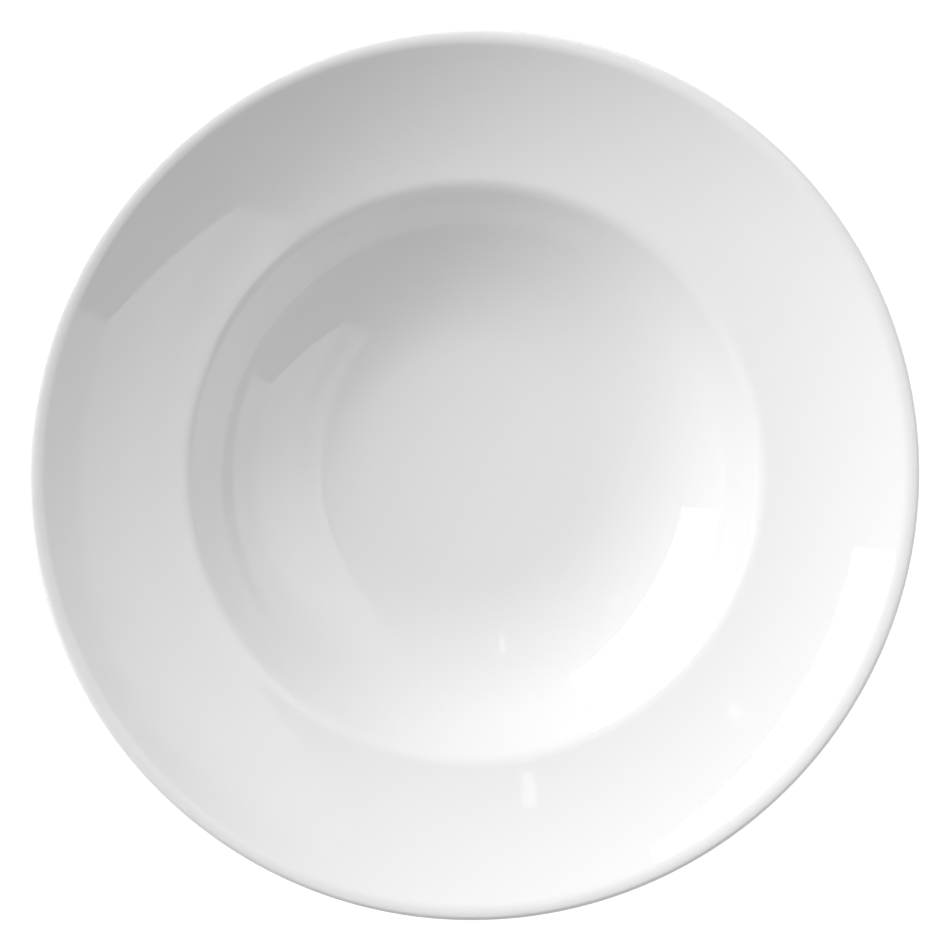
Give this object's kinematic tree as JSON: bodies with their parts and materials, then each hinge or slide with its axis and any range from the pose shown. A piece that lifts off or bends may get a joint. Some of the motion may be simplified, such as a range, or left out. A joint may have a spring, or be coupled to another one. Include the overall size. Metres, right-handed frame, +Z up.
{
  "type": "pasta plate",
  "caption": "Round white glazed porcelain pasta plate with a deep curved well, a wide dished rim, a rounded lip and a foot ring left bare where it stands.",
  "frame": {"origin": "middle of the standing plane, on the plate's axis", "axes": "+Z up along the axis of revolution; +X and +Y lie in the standing plane, with +X to the right and +Y to the top of the picture"},
  "size_m": [0.3, 0.3, 0.063],
  "materials": {
    "biscuit": "matte",
    "glaze": "gloss"
  },
  "bodies": {
    "root": {"porcelain_body": "biscuit", "glaze_coat": "glaze", "base_glaze": "glaze"}
  },
  "joints": []
}
